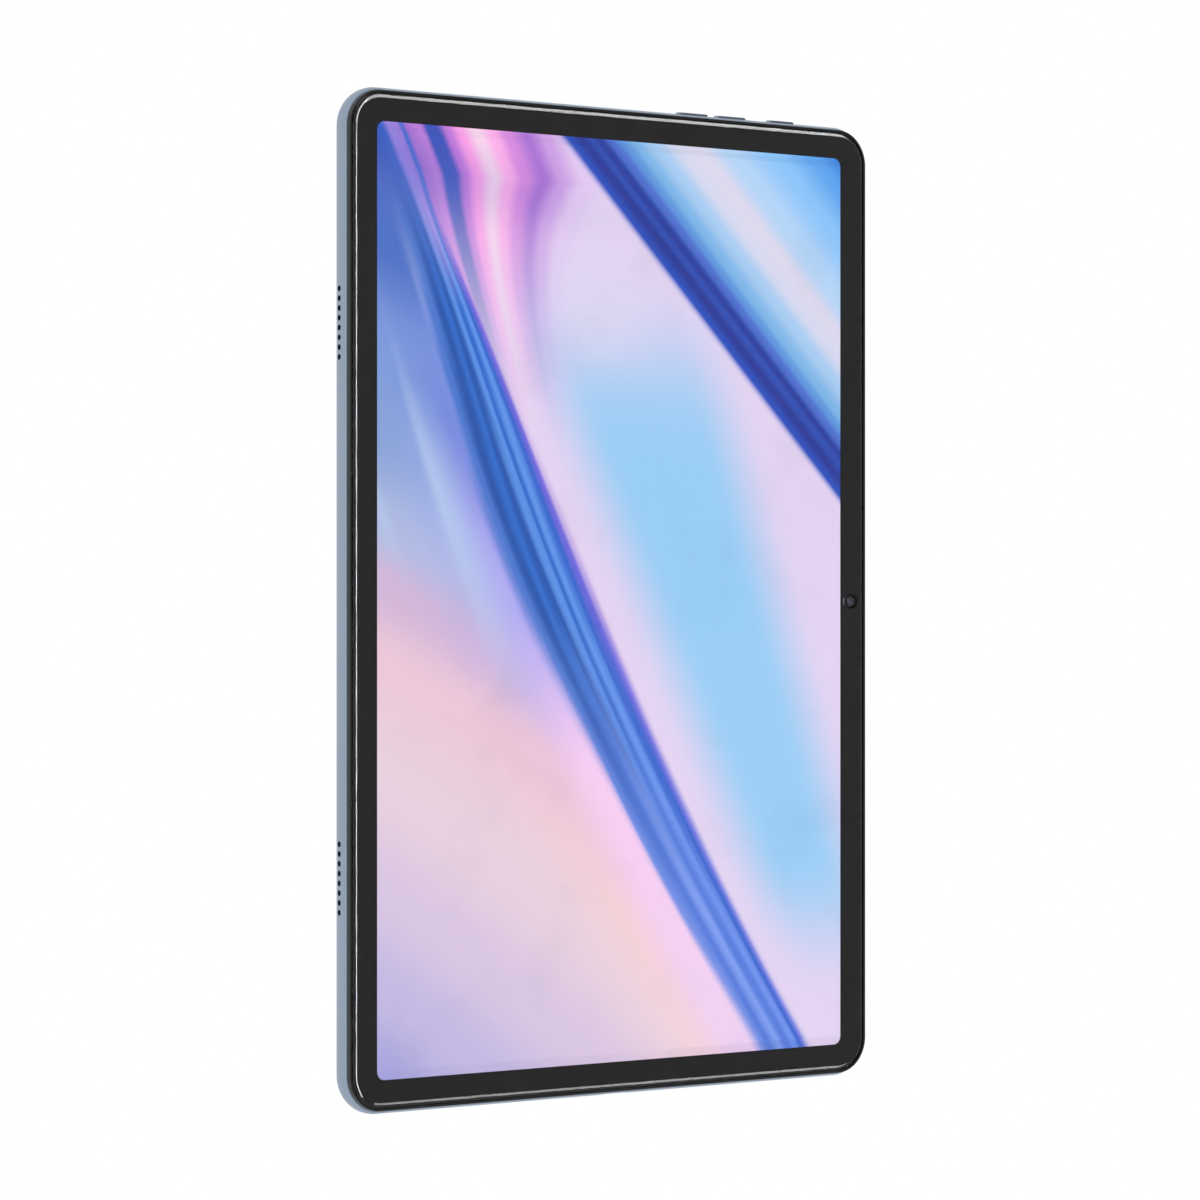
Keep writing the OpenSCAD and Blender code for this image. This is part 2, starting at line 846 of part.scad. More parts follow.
rear_cover();
bezel_frame();
cover_glass();
ink_border();
optical_adhesive();
display_tape();
lcd_cell();
optical_films();
light_guide();
reflector_sheet();
backlight_tray();
backlight_leds();
display_flex();
mid_plate();
front_camera();
front_camera_flex();
volume_up_key();
volume_up_plunger();
volume_down_key();
volume_down_plunger();
power_key();
power_plunger();
key_switches();
key_flex();
key_bracket();
mainboard();
processor();
memory_chips();
shield_cans();
microphones();
graphite_sheet();
battery_cell_left();
battery_cell_right();
battery_board();
battery_lead();
battery_adhesive();
port_board();
port_shell();
port_tongue();
main_flex();
upper_speaker();
lower_speaker();
speaker_gaskets();
speaker_meshes();
speaker_flex();
rear_camera();
rear_camera_flex();
rear_camera_glass();
camera_island();
flash_led();
flash_lens();
card_socket();
tray_face();
tray_carrier();
wifi_antenna();
side_antenna();
antenna_cables();
screws();
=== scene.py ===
import json
import math

import bmesh
import bpy
from mathutils import Matrix, Vector


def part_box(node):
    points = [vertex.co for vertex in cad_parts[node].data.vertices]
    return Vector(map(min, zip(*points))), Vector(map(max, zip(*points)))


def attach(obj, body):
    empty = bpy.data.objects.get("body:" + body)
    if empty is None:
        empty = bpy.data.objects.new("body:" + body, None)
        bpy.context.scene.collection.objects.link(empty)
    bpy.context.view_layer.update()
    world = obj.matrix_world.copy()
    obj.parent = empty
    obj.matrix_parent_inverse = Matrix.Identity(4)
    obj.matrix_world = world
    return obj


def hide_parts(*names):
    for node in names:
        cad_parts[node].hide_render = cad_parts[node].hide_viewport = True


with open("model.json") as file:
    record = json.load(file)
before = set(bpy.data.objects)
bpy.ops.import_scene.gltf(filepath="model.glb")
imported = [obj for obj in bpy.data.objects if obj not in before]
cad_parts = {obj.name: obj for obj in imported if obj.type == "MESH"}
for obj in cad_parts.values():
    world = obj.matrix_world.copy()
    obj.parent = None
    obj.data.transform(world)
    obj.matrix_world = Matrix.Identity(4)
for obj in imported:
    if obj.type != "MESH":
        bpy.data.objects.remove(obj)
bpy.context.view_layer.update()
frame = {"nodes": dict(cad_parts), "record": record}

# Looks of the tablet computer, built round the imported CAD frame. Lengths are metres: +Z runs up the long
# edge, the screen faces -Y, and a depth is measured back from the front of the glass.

MM = 0.001

# ---- Places, worked out from the frame ----


def centre(node):
    low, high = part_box(node)
    return (low + high) / 2


def extent(node):
    low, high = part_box(node)
    return high - low


shell_low, shell_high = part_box("rear_cover")
front_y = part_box("cover_glass")[0].y
body_w, body_h = shell_high.x - shell_low.x, shell_high.z - shell_low.z
half_w, mid_z = body_w / 2, body_h / 2
body_t = shell_high.y - front_y


def depth_of(y):
    return y - front_y


# Section of the metal shell, as insets from the outline and depths
CORNER_R = 10 * MM
RIM_D = depth_of(shell_low.y)
RIM_INSET = 0.85 * MM
CHAMFER_D = 1.45 * MM
FRONT_ARC_R, FRONT_ARC_D = 2.57 * MM, 3.1 * MM
BACK_ARC_R = 3.7 * MM
BACK_ARC_D = body_t - BACK_ARC_R
WALL_SIDE = 1.5 * MM
STEP_D, STEP_INSET = 5.25 * MM, 3.0 * MM
INNER_BACK_D = body_t - 1.0 * MM

# Frame round the glass, and the glass
GLASS_INSET = half_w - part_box("cover_glass")[1].x
GLASS_T = extent("cover_glass").y
GLASS_EDGE_D, GLASS_CURVE = 0.35 * MM, 3.1 * MM
BEAD_INSET = (0.87 * MM, 1.48 * MM)
BEAD_TOP = depth_of(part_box("bezel_frame")[0].y)
LEDGE_D = 0.9 * MM
SKIRT_INSET = (1.62 * MM, 2.6 * MM)
SKIRT_D = depth_of(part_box("bezel_frame")[1].y)

# Keys, with the body each one moves, and holes
KEYS = {"volume_up_key": "volume_up", "volume_down_key": "volume_down", "power_key": "power"}
HOLE_COUNT, HOLE_PITCH, HOLE_DIA = 8, 2.41 * MM, 1.45 * MM
SLOT_GAP = 0.1 * MM         # round the keys, the tray and the port
side_y = centre("port_shell").y
MIC_DIA, MIC_D = 0.8 * MM, 4.75 * MM

BOND = 0.003 * MM           # how far the glass laps the layers bonded to it, so that no air shows between
MERGE = 5e-7                # points closer than this are one
SHARP = math.radians(32)    # edges that turn by more than this stay sharp


# ---- Mesh building ----


def along_depth(x=0.0, z=0.0):
    """Outlines lie in X and Z, and heights are depths."""
    return Matrix(((1, 0, 0, x), (0, 0, 1, front_y), (0, 1, 0, z), (0, 0, 0, 1)))


def upright(x=0.0, y=0.0, z=0.0):
    """Outlines lie in X and Y, and heights are along Z."""
    return Matrix.Translation((x, y, z))


def sideways(y=0.0, z=0.0):
    """Outlines have their length along Z and width along Y, and heights are along X."""
    return Matrix(((0, 0, 1, 0), (0, 1, 0, y), (1, 0, 0, z), (0, 0, 0, 1)))


def rounded(width, height, radius, steps=16, splits=(1, 1)):
    """A rounded rectangle about the origin, as (anchor, outward normal) pairs.

    A point of the outline is anchor + reach * normal. The straight sides are split into equal parts.
    """
    x, y = width / 2 - radius, height / 2 - radius
    corners = [Vector(c) for c in ((x, y), (-x, y), (-x, -y), (x, -y))]
    outline = []
    for k, corner in enumerate(corners):
        for i in range(steps + 1):
            turn = math.pi / 2 * (k + i / steps)
            outline.append((corner, Vector((math.cos(turn), math.sin(turn)))))
        parts = splits[k % 2]
        for j in range(1, parts):
            outline.append((corner.lerp(corners[(k + 1) % 4], j / parts), outline[-1][1]))
    return outline


def circle(radius, steps=12):
    return rounded(2 * radius, 2 * radius, radius, steps)


def arc(middle, radius, start, end, steps):
    """Profile points on an arc round (inset, depth). Angles are in degrees, from outwards towards depth."""
    points = []
    for i in range(steps + 1):
        a = math.radians(start + (end - start) * i / steps)
        points.append((middle[0] - radius * math.cos(a), middle[1] + radius * math.sin(a)))
    return points


def mesh_object(name, bm):
    bmesh.ops.remove_doubles(bm, verts=bm.verts, dist=MERGE)
    bmesh.ops.recalc_face_normals(bm, faces=bm.faces)
    mesh = bpy.data.meshes.new(name)
    bm.to_mesh(mesh)
    bm.free()
    obj = bpy.data.objects.new(name, mesh)
    bpy.context.scene.collection.objects.link(obj)
    shade(obj)
    return obj


def shade(obj):
    for polygon in obj.data.polygons:
        polygon.use_smooth = True
    obj.data.set_sharp_from_angle(angle=SHARP)


def skin(bm, outline, reach, profile, place, closed=False):
    """Rings of the outline, one for each (inset, height), joined into a solid, or into a tube if closed."""
    rings = []
    for inset, height in profile:
        points = [anchor + (reach - inset) * normal for anchor, normal in outline]
        rings.append([bm.verts.new(place @ Vector((p.x, p.y, height))) for p in points])
    pairs = list(zip(rings, rings[1:])) + ([(rings[-1], rings[0])] if closed else [])
    count = len(outline)
    for low, high in pairs:
        for i in range(count):
            j = (i + 1) % count
            bm.faces.new((low[i], low[j], high[j], high[i]))
    if not closed:
        bm.faces.new(rings[0][::-1])
        bm.faces.new(rings[-1])


def loft(name, outline, reach, profile, place, closed=False):
    bm = bmesh.new()
    skin(bm, outline, reach, profile, place, closed)
    return mesh_object(name, bm)


def cut(obj, *cutters, operation="DIFFERENCE"):
    """Cuts the cutters out of obj, or joins them to it, and removes them."""
    for cutter in cutters:
        modifier = obj.modifiers.new("cut", "BOOLEAN")
        modifier.object, modifier.operation, modifier.solver = cutter, operation, "EXACT"
    graph = bpy.context.evaluated_depsgraph_get()
    mesh = bpy.data.meshes.new_from_object(obj.evaluated_get(graph))
    obj.modifiers.clear()
    bm = bmesh.new()
    bm.from_mesh(mesh)
    bmesh.ops.remove_doubles(bm, verts=bm.verts, dist=MERGE)
    bm.to_mesh(mesh)
    bm.free()
    obj.data = mesh
    for cutter in cutters:
        bpy.data.objects.remove(cutter)
    shade(obj)


def piece(obj, body, material, slot, *nodes):
    """Finishes a piece: its material, the body it rides on and the CAD nodes it stands for. The slot argument
    is not used.
    """
    obj.data.materials.clear()
    obj.data.materials.append(material)
    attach(obj, body)
    if nodes:
        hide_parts(*nodes)
    return obj


# ---- Node trees ----


class Value:
    """A number in a node tree. Arithmetic on it adds Math nodes."""

    def __init__(self, tree, socket):
        self.tree, self.socket = tree, socket

    def math(self, operation, *others):
        node = self.tree.nodes.new("ShaderNodeMath")
        node.operation = operation
        for slot, value in zip(node.inputs, (self, *others)):
            connect(self.tree, slot, value)
        return Value(self.tree, node.outputs[0])

    def __add__(self, other):
        return self.math("ADD", other)

    def __sub__(self, other):
        return self.math("SUBTRACT", other)

    def __mul__(self, other):
        return self.math("MULTIPLY", other)

    def __truediv__(self, other):
        return self.math("DIVIDE", other)

    def over(self, low, high):
        """0 below low and 1 above high, with a smooth step between; falls if high is below low."""
        node = self.tree.nodes.new("ShaderNodeMapRange")
        node.interpolation_type = "SMOOTHSTEP"
        if low > high:
            low, high = high, low
            ends = (1.0, 0.0)
        else:
            ends = (0.0, 1.0)
        for name, value in zip(("From Min", "From Max", "To Min", "To Max"), (low, high, *ends)):
            node.inputs[name].default_value = value
        connect(self.tree, node.inputs["Value"], self)
        return Value(self.tree, node.outputs[0])

    def near(self, middle, reach):
        """1 at middle, falling smoothly to 0 at reach either side of it."""
        return (self - middle).math("ABSOLUTE").over(reach, 0.0)


def connect(tree, slot, value):
    if isinstance(value, Value):
        tree.links.new(value.socket, slot)
    elif isinstance(value, bpy.types.NodeSocket):
        tree.links.new(value, slot)
    else:
        slot.default_value = value


def colour(code):
    """A display colour such as "8FA3B5" as the linear RGBA that sockets take."""
    parts = [int(code[i:i + 2], 16) / 255 for i in (0, 2, 4)]
    return (*[c / 12.92 if c <= 0.04045 else ((c + 0.055) / 1.055) ** 2.4 for c in parts], 1.0)


class Paint:
    """One material's node tree round a Principled shader, placed by the object's own coordinates."""

    def __init__(self, name, base, roughness, metallic=0.0, **constants):
        self.material = bpy.data.materials.new(name)
        self.material.use_nodes = True
        self.tree = self.material.node_tree
        self.shader = self.tree.nodes["Principled BSDF"]
        self.place = self.add("ShaderNodeTexCoord").outputs["Object"]
        self.set("Base Color", colour(base))
        self.set("Roughness", roughness)
        self.set("Metallic", metallic)
        for socket, value in constants.items():
            self.set(socket.replace("_", " "), value)

    def add(self, kind, **inputs):
        node = self.tree.nodes.new(kind)
        for name, value in inputs.items():
            connect(self.tree, node.inputs[name], value)
        return node

    def set(self, socket, value):
        connect(self.tree, self.shader.inputs[socket], value)

    def axes(self):
        """X, Y and Z of the object's own coordinates."""
        node = self.add("ShaderNodeSeparateXYZ", Vector=self.place)
        return [Value(self.tree, socket) for socket in node.outputs]

    def point(self, x, y, z):
        return self.add("ShaderNodeCombineXYZ", X=x, Y=y, Z=z).outputs[0]

    def noise(self, size, detail=3.0, where=None):
        """Noise from 0 to 1 with features of that size."""
        node = self.add("ShaderNodeTexNoise", Vector=where or self.place, Scale=1 / size, Detail=detail)
        return Value(self.tree, node.outputs[0])

    def cells(self, size):
        """The distance from the middle of cells of that size, 0 at each middle."""
        node = self.add("ShaderNodeTexVoronoi", Vector=self.place, Scale=1 / size)
        return Value(self.tree, node.outputs["Distance"])

    def mix(self, low, high, share):
        """A blend of two colours: low where share is 0 and high where it is 1."""
        node = self.tree.nodes.new("ShaderNodeMix")
        node.data_type = "RGBA"
        for slot, value in ((0, share), (6, low), (7, high)):
            connect(self.tree, node.inputs[slot], value)
        return node.outputs[2]

    def ramp(self, value, stops):
        """The colour at value, blended between (value, colour code) stops."""
        low, high = stops[0][0], stops[-1][0]
        node = self.add("ShaderNodeValToRGB", Fac=(value - low) / (high - low))
        node.color_ramp.interpolation = "EASE"
        points = node.color_ramp.elements
        while len(points) < len(stops):
            points.new(1.0)
        for point, (at, code) in zip(points, stops):
            point.position = (at - low) / (high - low)
            point.color = colour(code)
        return node.outputs["Color"]

    def edges(self, radius):
        """1 on edges, where wear and a painted edge highlight go, 0 on flat faces."""
        bevel = self.add("ShaderNodeBevel", Radius=radius)
        bevel.samples = 4
        normal = self.add("ShaderNodeNewGeometry").outputs["Normal"]
        dot = self.tree.nodes.new("ShaderNodeVectorMath")
        dot.operation = "DOT_PRODUCT"
        connect(self.tree, dot.inputs[0], bevel.outputs[0])
        connect(self.tree, dot.inputs[1], normal)
        return Value(self.tree, dot.outputs["Value"]).over(0.98, 0.80)

    def bump(self, height, distance, strength=1.0):
        """Raises the surface by height times distance."""
        node = self.add("ShaderNodeBump", Strength=strength, Distance=distance, Height=height)
        self.set("Normal", node.outputs[0])


def varied(name, base, other, roughness, metallic=0.0, blotch=6 * MM, grain=0.15 * MM, relief=2e-6,
           wear_and_highlight=None, spread=0.08, **constants):
    """A finish with cloudy colour and gloss, a fine grain, and edges lightened partly as wear and partly as a
    painted edge highlight, where their colour is given.
    """
    paint = Paint(name, base, roughness, metallic, **constants)
    cloud = paint.noise(blotch)
    fine = paint.noise(grain, 2.0)
    tint = paint.mix(colour(base), colour(other), cloud.over(0.35, 0.7))
    if wear_and_highlight:
        # Wear and painted edge highlight: edges turn lighter in noisy patches.
        rubbed_and_highlit = paint.edges(0.15 * MM) * paint.noise(2 * MM).over(0.45, 0.7)
        tint = paint.mix(tint, colour(wear_and_highlight), rubbed_and_highlit * 0.6)
    paint.set("Base Color", tint)
    paint.set("Roughness", (cloud - 0.5) * spread + (fine - 0.5) * spread + roughness)
    paint.bump(fine, relief)
    return paint


# ---- Camera ----


def make_camera():
    """The photograph's view: level, from the front left."""
    data = bpy.data.cameras.new("camera")
    camera = bpy.data.objects.new("camera", data)
    bpy.context.scene.collection.objects.link(camera)
    along = Vector((0.5888, 0.8083, 0.0))
    camera.location = (-0.6317, -0.86285, 0.1243)
    camera.rotation_euler = along.to_track_quat("-Z", "Y").to_euler()
    data.lens, data.sensor_width = 124.35, 36.0
    data.shift_y = 0.0096
    data.clip_start, data.clip_end = 0.01, 100.0
    bpy.context.scene.camera = camera


make_camera()

# ---- Outer materials ----


def anodised(name, base, other, roughness=0.4):
    """Fine blasted and anodised aluminium."""
    paint = varied(name, base, other, roughness, metallic=1.0, blotch=60 * MM, grain=0.09 * MM, relief=1.2e-6,
                   wear_and_highlight="C6CED8", spread=0.03)
    return paint.material


def clear_glass(name, tint="FDFEFF"):
    """Polished glass with the faint smears of a touched surface. Its gloss is a coat over a clear body."""
    paint = Paint(name, tint, 0.0, Transmission_Weight=1.0, IOR=1.1, Coat_Weight=1.0, Coat_Roughness=0.05)
    smear = paint.noise(25 * MM, 5.0).over(0.5, 0.75)
    paint.set("Base Color", paint.mix(colour(tint), colour("F6F8FA"), smear))
    return paint


def front_glass():
    """Cover glass, with a ring round the front camera that is coated against reflections."""
    paint = clear_glass("cover_glass")
    x, _, z = paint.axes()
    at = centre("front_camera")
    away = ((x - at.x).math("POWER", 2.0) + (z - at.z).math("POWER", 2.0)).math("SQRT")
    ring = away.over(1.15 * MM, 1.3 * MM) * away.over(2.15 * MM, 2.05 * MM)
    stopped = 0.97          # share of the reflection that the coating stops
    paint.set("Coat Weight", ring * -stopped + 1.0)
    return paint.material


BODY_METAL = anodised("anodised_metal", "96A4B5", "93A1B2")
# Darker copy of the body's anodised metal: painted shade on the keys.
SHADED_KEY_METAL = anodised("key_metal", "7F8C9C", "7B8898", 0.25)
ISLAND_METAL = anodised("island_metal", "8996A8", "8693A5")
BEZEL = varied("bezel_plastic", "0E0E0F", "131314", 0.22, grain=0.12 * MM, relief=1e-6,
               wear_and_highlight="242426").material
GLASS = front_glass()
VELVET = varied("black_gasket", "030303", "050505", 0.9, relief=0.5e-6, Specular_IOR_Level=0.0).material
INK = varied("border_ink", "080808", "0B0B0B", 0.6, relief=0.5e-6, Specular_IOR_Level=0.0).material

# ---- Lenses, port and inner materials ----


def coated(name, tint, **constants):
    """Dark lens glass. The blue that its anti-reflection coating shows in reflection is painted into its
    colour, stronger at grazing angles.
    """
    roughness = 0.05
    paint = Paint(name, tint, roughness, IOR=1.6, **constants)
    painted_sheen_facing = Value(paint.tree, paint.add("ShaderNodeLayerWeight", Blend=0.35).outputs["Facing"])
    haze = paint.noise(0.8 * MM).over(0.4, 0.8)
    # Painted reflection: the colour turns blue where the surface is seen at a grazing angle.
    paint.set("Base Color", paint.mix(colour(tint), colour("1A2A66"), painted_sheen_facing.over(0.2, 0.8) * 0.7))
    paint.set("Roughness", haze * 0.03 + roughness)
    return paint.material


def brushed(name, base, other, roughness, along=2, wear_and_highlight=None):
    """Rolled or brushed sheet metal, with streaks that run along one axis."""
    paint = varied(name, base, other, roughness, metallic=1.0, wear_and_highlight=wear_and_highlight)
    streak = [1.0, 1.0, 1.0]
    streak[along] = 0.03
    where = paint.point(*[axis * share for axis, share in zip(paint.axes(), streak)])
    lines = paint.noise(0.25 * MM, 3.0, where)
    paint.set("Roughness", (lines - 0.5) * 0.25 + roughness)
    paint.bump(lines, 3e-6)
    return paint.material


def flex_film():
    """Amber film with copper tracks that show through it."""
    paint = varied("flex_polyimide", "B5701C", "A8641A", 0.35, relief=1e-6, Coat_Weight=0.4)
    x, _, z = paint.axes()
    across = paint.noise(30 * MM, 0.0).over(0.49, 0.51)
    run = x * across + z * (across * -1.0 + 1.0)
    track = run.math("PINGPONG", 0.35 * MM).over(0.2 * MM, 0.26 * MM)
    paint.set("Base Color", paint.mix(colour("9C5A17"), colour("C98A3C"), track))
    paint.bump(track, 8e-6)
    return paint.material


def board():
    """Green solder mask over copper tracks, with vias."""
    paint = varied("circuit_board", "0F4A28", "0C4023", 0.4, relief=1e-6, Coat_Weight=0.3)
    x, _, z = paint.axes()
    across = paint.cells(9 * MM).over(0.30, 0.31)
    run = x * across + z * (across * -1.0 + 1.0)
    track = run.math("PINGPONG", 0.5 * MM).over(0.32 * MM, 0.36 * MM)
    via = paint.cells(2.2 * MM).over(0.13, 0.11)
    tint = paint.mix(colour("0B3D22"), colour("1B6B3C"), track)
    paint.set("Base Color", paint.mix(tint, colour("C9A455"), via))
    paint.bump(track + via, 1.2e-5)
    return paint.material


def woven_mesh():
    """Black woven wire behind the sound holes."""
    paint = Paint("speaker_mesh", "0A0A0B", 0.5, 0.6)
    _, y, z = paint.axes()
    pitch = 0.16 * MM
    warp, weft = (axis.math("PINGPONG", pitch / 2) / (pitch / 2) for axis in (y, z))
    weave = warp.math("MAXIMUM", weft)
    paint.set("Base Color", paint.mix(colour("020202"), colour("1C1C1E"), weave.over(0.5, 0.9)))
    paint.set("Roughness", weave * -0.3 + 0.7)
    paint.bump(weave, 4e-5)
    return paint.material


def foil():
    """Laminated battery pouch with soft dents."""
    paint = varied("battery_foil", "3A3D42", "45494F", 0.34, 1.0, blotch=14 * MM, relief=1e-6)
    paint.bump(paint.noise(9 * MM, 2.0) + paint.noise(0.5 * MM, 2.0) * 0.03, 1.5e-4, 0.6)
    return paint.material


def dotted_guide():
    """Clear acrylic with the printed dots that spread its light."""
    paint = Paint("light_guide_plastic", "EEF4FA", 0.08, Transmission_Weight=0.6, IOR=1.49)
    dots = paint.cells(1.1 * MM).over(0.24, 0.2)
    paint.set("Base Color", paint.mix(colour("EEF4FA"), colour("FFFFFF"), dots))
    paint.set("Roughness", dots * 0.5 + 0.08)
    paint.bump(dots, 4e-6)
    return paint.material


def foam(name, base, other):
    """Closed-cell foam or soft rubber."""
    paint = varied(name, base, other, 0.8)
    paint.bump(paint.cells(0.25 * MM), 4e-5)
    return paint.material


LENS_GLASS = coated("lens_glass", "082448", Metallic=0.4, Coat_Weight=0.3, Coat_Roughness=0.02)
WINDOW_GLASS = clear_glass("window_glass", tint="E4E8F0").material
CAMERA_BLACK = varied("camera_black", "08080A", "0D0E10", 0.6, grain=0.1 * MM, wear_and_highlight="18191B",
                      Specular_IOR_Level=0.08).material
BLACK_PLASTIC = varied("black_plastic", "17181A", "202124", 0.5, relief=4e-6, wear_and_highlight="35363A").material
PORT_METAL = brushed("port_metal", "A9ABAE", "B8BABD", 0.3, along=2, wear_and_highlight="D5D6D8")
GILT = varied("gilt_metal", "C9A24A", "D8B866", 0.28, 1.0, wear_and_highlight="E8D9A8").material
FLASH_DIFFUSER = varied("flash_diffuser", "E9E6D0", "DAD6BC", 0.25, relief=3e-6, Coat_Weight=0.5).material

# ---- Screen ----


GLARE = 0.018               # what the glass reflects over the picture


def screen_material():
    """The lit panel. It is bonded to the glass, so it has no gloss of its own."""
    low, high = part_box("optical_adhesive")
    paint = Paint("display_cell", "050608", 0.4, Specular_IOR_Level=0.0)
    x, _, z = paint.axes()
    u = (x - low.x) / (high.x - low.x)
    t = (z - high.z) / (low.z - high.z)
    clear = paint.add("ShaderNodeVectorMath")
    clear.operation = "SUBTRACT"
    connect(paint.tree, clear.inputs[0], wallpaper(paint, u, t))
    clear.inputs[1].default_value = (GLARE, GLARE, GLARE)
    floor = paint.add("ShaderNodeVectorMath")
    floor.operation = "MAXIMUM"
    connect(paint.tree, floor.inputs[0], clear.outputs[0])
    paint.set("Emission Color", floor.outputs[0])
    paint.set("Emission Strength", 1.12)
    return paint.material


def wallpaper(paint, u, t):
    """An abstract picture of soft ribbons of light: u runs from the left and t from the top, both 0 to 1."""
    bend = (t - 0.5).math("MAXIMUM", 0.0)
    main = u - (t * 0.76 + bend * bend * 0.34 + 0.015)       # across the ribbon that falls from the top left
    second = u - (t * 1.6 + 0.385)                           # across the ribbon in the top right
    lean = t - u * (t * 0.3 + 0.15)                          # down the left side, in slanting bands
    strands = paint.noise(1.0, 3.0, paint.point(main * 34.0, t * 1.2, 0.3)) - 0.5
    fan = pink_fan(paint, main, t, strands)
    middle = between_ribbons(paint, u, t, fan)
    left = left_of_ribbon(paint, main, lean, t)
    picture = paint.mix(left, middle, main.over(-0.01, 0.012) * t.over(0.0, 0.12))
    outside = (lean.over(-0.03, 0.08) + main.over(-0.05, -0.09)).math("MINIMUM", 1.0)
    picture = paint.mix(fan, picture, outside)
    picture = main_ribbon(paint, picture, main, t, strands)
    return top_right(paint, picture, second, t)


def pink_fan(paint, main, t, strands):
    """Blue, violet and pink streaks at the top."""
    spread = (t - 0.05).math("MAXIMUM", 0.0) * 6.0 + 1.0
    return paint.ramp(main * spread + strands * 0.01, [
        (-0.06, "3A4AA6"), (-0.035, "1F52B4"), (-0.008, "2B60C8"), (0.006, "A58CE8"), (0.024, "A884E2"),
        (0.034, "3A6CD2"), (0.046, "B676D6"), (0.07, "C882DE"), (0.085, "3050BA"), (0.105, "3850B8"),
        (0.125, "C678DC"), (0.15, "FFA0E8"), (0.185, "F9D5EC"), (0.215, "FFB0EA"), (0.25, "D88ADE"),
        (0.29, "AC72D4"), (0.33, "CFA0E4"), (0.38, "E2C8F0"), (0.46, "E4D2EF")])


def between_ribbons(paint, u, t, fan):
    """Lilac with a pool of sky blue, under the fan."""
    pool = u - (t * 0.69 + 0.36)
    blue = (pool.math("ABSOLUTE") + t * 0.12).over(0.29, 0.13) * t.over(0.08, 0.30) * t.over(0.96, 0.78)
    field = paint.mix(colour("E4D2EF"), colour("98CCF3"), blue)
    field = paint.mix(field, colour("DDDCF1"), t.near(0.16, 0.12) * u.near(0.45, 0.2) * 0.8)
    return paint.mix(fan, field, t.over(0.0, 0.36))


def left_of_ribbon(paint, main, lean, t):
    """Blue grey above, pink and peach in the middle and lilac below, with veils along the ribbon."""
    edge = paint.ramp(lean, [
        (-0.05, "2E55B4"), (0.08, "4455A8"), (0.2, "7F9CD8"), (0.32, "7F9DCE"), (0.42, "B0BBE0"),
        (0.48, "D3B4D5"), (0.56, "EBC5D6"), (0.68, "E7CEDC"), (0.8, "D8C3DF"), (0.9, "C2B6E0"),
        (1.0, "A6A3DD")])
    inner = paint.ramp(lean, [
        (-0.05, "4A55B8"), (0.12, "4A6EC4"), (0.24, "7C98DC"), (0.38, "A3AFEA"), (0.48, "C0B2E6"),
        (0.55, "EBC0D6"), (0.64, "F8CFD2"), (0.74, "F4D4DE"), (0.86, "ECD0E2"), (0.95, "E4C4DC")])
    left = paint.mix(edge, inner, main.over(-0.36, -0.08))
    veils = paint.noise(1.0, 2.0, paint.point(main * 9.0 + t, t * 1.1, 7.1))
    above = lean.near(0.3, 0.24)
    left = paint.mix(left, colour("5C78C4"), veils.over(0.47, 0.36) * above * 0.75)
    left = paint.mix(left, colour("BFD3F0"), veils.over(0.52, 0.64) * above * 0.8)
    rim = paint.ramp(t, [(0.3, "6F7FDA"), (0.5, "B0A7F0"), (0.7, "F8CCF0"), (1.0, "EFCFF0")])
    return paint.mix(left, rim, main.over(-0.2, -0.09) * t.over(0.15, 0.4))


def main_ribbon(paint, picture, main, t, strands):
    """The blue ribbon over the picture, widest in the middle."""
    middle, foot = t.near(0.42, 0.36), t.over(0.7, 1.0)
    width = t * 0.035 + middle * 0.02 - foot * 0.018 + 0.028
    across = main / width + middle * 0.36 - foot * 0.35 + strands * 0.6
    upper = paint.ramp(across, [
        (-1.7, "8F9BE6"), (-1.1, "4A76CC"), (-0.7, "1F52A8"), (-0.4, "2F6AC8"), (-0.2, "2054AC"),
        (0.1, "5B90E4"), (0.3, "2A66C8"), (0.5, "5F94E8"), (0.75, "3264CC"), (1.05, "7066DA"),
        (1.4, "D9A9E6")])
    lower = paint.ramp(across, [
        (-1.7, "C5BDF0"), (-1.2, "6F8CE2"), (-0.7, "4F78DA"), (-0.2, "7C9BEC"), (0.2, "5079DC"),
        (0.5, "6C90EA"), (0.8, "2C60CC"), (1.05, "6A78DE"), (1.4, "D5D0F0")])
    ribbon = paint.mix(upper, lower, t.over(0.5, 0.85))
    return paint.mix(picture, ribbon, across.over(-1.7, -1.1) * across.over(1.4, 1.0) * t.over(0.04, 0.2))


def top_right(paint, picture, second, t):
    """A dark ribbon over the picture, then pale streaks."""
    threads = paint.noise(1.0, 3.0, paint.point(second * 20.0, t * 1.5, 3.7)) - 0.5
    right = paint.ramp(second + threads * 0.03, [
        (-0.015, "8F9AE0"), (0.008, "1F4CBA"), (0.035, "123494"), (0.06, "2C4CB2"), (0.075, "17389A"),
        (0.10, "4A6CCC"), (0.13, "5F96DC"), (0.15, "7CB4E6"), (0.20, "A8CCF0"), (0.25, "D8D8EE"),
        (0.29, "DED8EC"), (0.36, "B4D4F6"), (0.46, "8CC4F9"), (0.55, "5CA4EE"), (0.64, "1F6ED4")])
    return paint.mix(picture, right, second.over(-0.018, 0.006))


